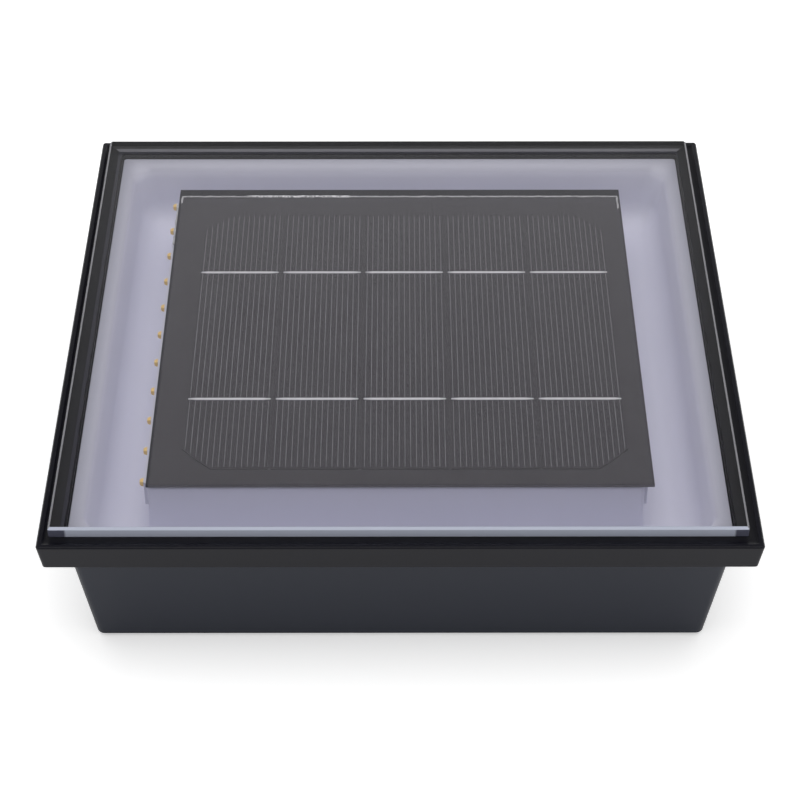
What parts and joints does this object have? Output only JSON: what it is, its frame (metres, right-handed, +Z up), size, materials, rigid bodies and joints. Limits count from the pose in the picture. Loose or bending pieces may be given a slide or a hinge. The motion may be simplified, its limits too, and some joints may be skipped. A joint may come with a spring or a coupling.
{
  "type": "recessed solar light",
  "caption": "Square recessed solar light: a dark drafted tub with a flange, a thick raised glass pane and a solar panel on a pedestal in a pale reflector tray.",
  "frame": {"origin": "centre of the housing's flat base, on the surface it rests on", "axes": "+Z up through the glass, -Y towards the pictured front edge, +X to the right of that view"},
  "size_m": [0.1998, 0.1998, 0.049],
  "materials": {
    "housing_plastic": "satin moulded plastic",
    "sealant_silicone": "smooth black silicone",
    "pane_glass": "clear polished glass with ground edges",
    "tray_plastic": "pale satin plastic",
    "screw_steel": "zinc plated",
    "strip_white": "white solder mask",
    "led_phosphor": "amber phosphor",
    "tape_foam": "closed-cell foam tape",
    "panel_laminate": "dark laminate",
    "cell_silicon": "dark silicon with fine fingers",
    "ribbon_tin": "tinned copper ribbon",
    "film_clear": "clear laminate",
    "gasket_rubber": "black rubber",
    "pad_foam": "dark foam",
    "cell_can": "plated can",
    "sleeve_film": "blue shrink film",
    "holder_plastic": "black moulded plastic",
    "contact_nickel": "nickel plated strip",
    "board_laminate": "green solder mask",
    "chip_plastic": "black package",
    "coil_ferrite": "dark ferrite shield",
    "capacitor_can": "bare can",
    "socket_nylon": "white nylon",
    "button_plastic": "satin plastic",
    "lead_red": "red insulation",
    "lead_black": "black insulation"
  },
  "bodies": {
    "light": {"housing": "housing_plastic", "battery_cover": "housing_plastic", "glass_sealant": "sealant_silicone", "top_glass": "pane_glass", "reflector_tray": "tray_plastic", "tray_screws": "screw_steel", "board_screws": "screw_steel", "cover_screws": "screw_steel", "led_strip_left": "strip_white", "led_strip_right": "strip_white", "leds_left": "led_phosphor", "leds_right": "led_phosphor", "panel_tape": "tape_foam", "panel_board": "panel_laminate", "solar_cells": "cell_silicon", "cell_ribbons": "ribbon_tin", "panel_film": "film_clear", "cover_gasket": "gasket_rubber", "battery_pad": "pad_foam", "battery_cells": "cell_can", "cell_sleeves": "sleeve_film", "battery_holder": "holder_plastic", "positive_contact": "contact_nickel", "negative_contact": "contact_nickel", "main_board": "board_laminate", "controller_chip": "chip_plastic", "switch_body": "chip_plastic", "boost_coil": "coil_ferrite", "capacitors": "capacitor_can", "battery_socket": "socket_nylon", "led_socket": "socket_nylon", "panel_socket": "socket_nylon", "panel_lead_red": "lead_red", "led_leads_red": "lead_red", "battery_lead_red": "lead_red", "panel_lead_black": "lead_black", "led_leads_black": "lead_black", "battery_lead_black": "lead_black"},
    "button": {"switch_button": "button_plastic", "button_seal": "gasket_rubber", "switch_plunger": "button_plastic"}
  },
  "joints": [
    {"name": "button_press", "type": "slide", "parent": "light", "child": "button", "axis": [0, 0, 1], "range_m": [0, 0.0015], "stiffness_N_per_m": 800, "springref_m": -0.0015}
  ]
}
